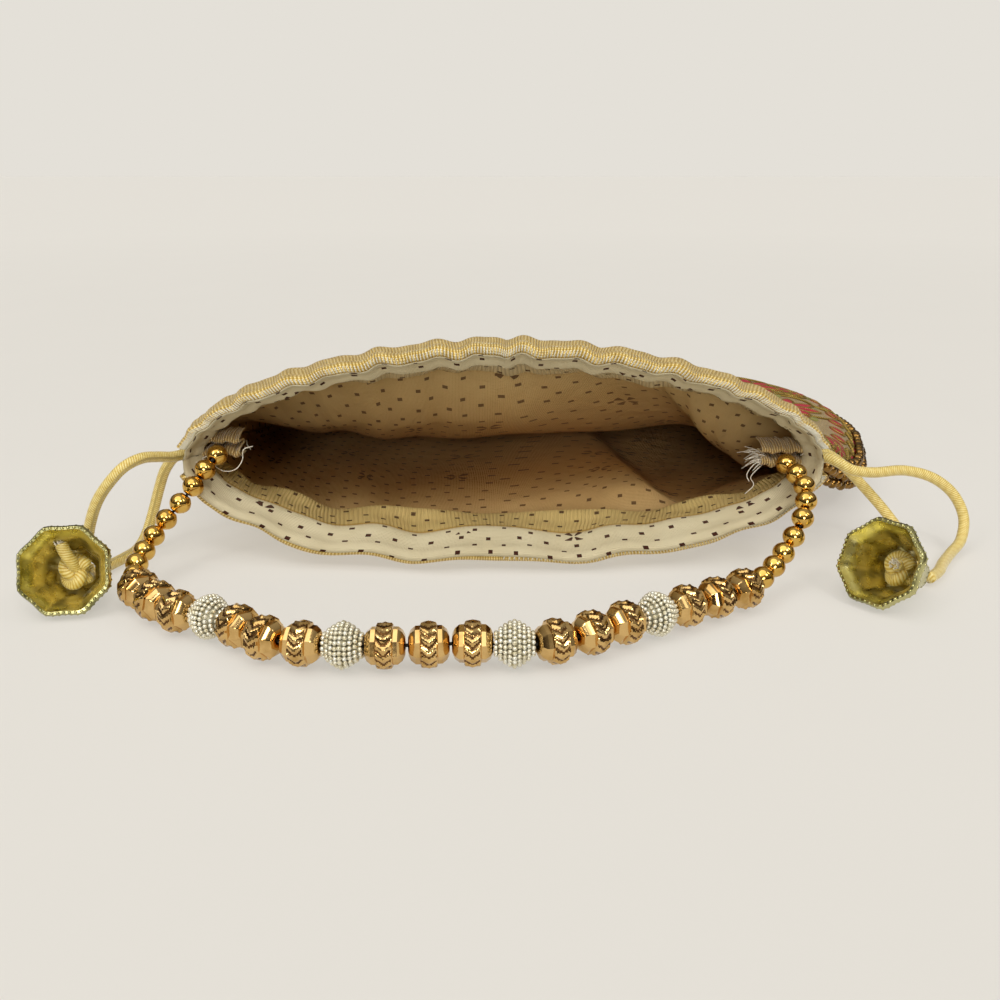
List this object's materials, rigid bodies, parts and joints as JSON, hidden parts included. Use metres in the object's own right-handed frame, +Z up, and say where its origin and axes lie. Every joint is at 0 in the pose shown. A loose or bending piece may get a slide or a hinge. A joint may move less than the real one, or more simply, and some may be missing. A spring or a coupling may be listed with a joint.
{
  "type": "drawstring potli bag",
  "caption": "Soft drawstring pouch with a gold neck casing, embroidered panels, printed lining, bead trim, beaded handle and bell-tipped cords.",
  "frame": {"origin": "centre of the base on the surface the bag lies on", "axes": "+Z up, +X to the right, the open mouth and the handle face -Y"},
  "size_m": [0.2511, 0.276, 0.0612],
  "materials": {
    "gold_ribbed_cloth": "ribbed weave with metallic gold yarn, satin sheen",
    "embroidered_cloth": "ribbed gold ground with matt red floral stitching and twisted gold yarn outlines",
    "printed_lining": "thin matt cotton, printed with small brown dots and four-petal sprigs",
    "tab_cloth": "folded beige-gold cloth with frayed edges",
    "satin_cord": "twisted satin cord, silky",
    "trim_bead": "antique gold beads, small and round",
    "polished_gold_bead": "mirror-polished gold colour",
    "antique_gold_bead": "carved, rose-bronze gold plating, darker in the hollows",
    "pearl_cluster_bead": "rows of tiny pearl and silver grains",
    "bell_metal": "pale greenish brass, brushed inside, cast studs round the rim",
    "black_thread": "matt black thread"
  },
  "bodies": {
    "bag": {"back_panel": "embroidered_cloth", "bead_trim": "trim_bead", "drawstring_left_loop": "satin_cord", "drawstring_left_strand_lower": "satin_cord", "drawstring_left_strand_upper": "satin_cord", "drawstring_right_loop": "satin_cord", "drawstring_right_strand_lower": "satin_cord", "drawstring_right_strand_upper": "satin_cord", "front_panel": "embroidered_cloth", "knot_left_inner": "satin_cord", "knot_left_outer": "satin_cord", "knot_right_inner": "satin_cord", "knot_right_outer": "satin_cord", "lining": "printed_lining", "neck_band_back": "gold_ribbed_cloth", "neck_band_front": "gold_ribbed_cloth", "tab_left": "tab_cloth", "tab_right": "tab_cloth"},
    "handle": {"carved_bead_1": "antique_gold_bead", "carved_bead_10": "antique_gold_bead", "carved_bead_11": "antique_gold_bead", "carved_bead_12": "antique_gold_bead", "carved_bead_13": "antique_gold_bead", "carved_bead_14": "antique_gold_bead", "carved_bead_15": "antique_gold_bead", "carved_bead_2": "antique_gold_bead", "carved_bead_3": "antique_gold_bead", "carved_bead_4": "antique_gold_bead", "carved_bead_5": "antique_gold_bead", "carved_bead_6": "antique_gold_bead", "carved_bead_7": "antique_gold_bead", "carved_bead_8": "antique_gold_bead", "carved_bead_9": "antique_gold_bead", "pearl_bead_1": "pearl_cluster_bead", "pearl_bead_2": "pearl_cluster_bead", "pearl_bead_3": "pearl_cluster_bead", "pearl_bead_4": "pearl_cluster_bead", "small_bead_left_1": "polished_gold_bead", "small_bead_left_2": "polished_gold_bead", "small_bead_left_3": "polished_gold_bead", "small_bead_left_4": "polished_gold_bead", "small_bead_left_5": "polished_gold_bead", "small_bead_left_6": "polished_gold_bead", "small_bead_left_7": "polished_gold_bead", "small_bead_left_8": "polished_gold_bead", "small_bead_left_9": "polished_gold_bead", "small_bead_right_1": "polished_gold_bead", "small_bead_right_2": "polished_gold_bead", "small_bead_right_3": "polished_gold_bead", "small_bead_right_4": "polished_gold_bead", "small_bead_right_5": "polished_gold_bead", "small_bead_right_6": "polished_gold_bead", "small_bead_right_7": "polished_gold_bead", "small_bead_right_8": "polished_gold_bead", "small_bead_right_9": "polished_gold_bead", "handle_thread": "black_thread"},
    "left_bell": {"bell_left": "bell_metal"},
    "right_bell": {"bell_right": "bell_metal"}
  },
  "joints": [
    {"name": "handle_swing", "type": "hinge", "parent": "bag", "child": "handle", "pos_m": [-0.01752, -0.06569, 0.0272], "axis": [-1, 0, 0], "range_deg": [0, 90]},
    {"name": "bell_left_spin", "type": "hinge", "parent": "bag", "child": "left_bell", "pos_m": [-0.12512, -0.08939, 0.0051], "axis": [0.1281, -0.9115, 0.3907], "continuous": true},
    {"name": "bell_right_spin", "type": "hinge", "parent": "bag", "child": "right_bell", "pos_m": [0.08808, -0.09009, 0.0051], "axis": [-0.7351, -0.554, 0.3907], "continuous": true}
  ]
}
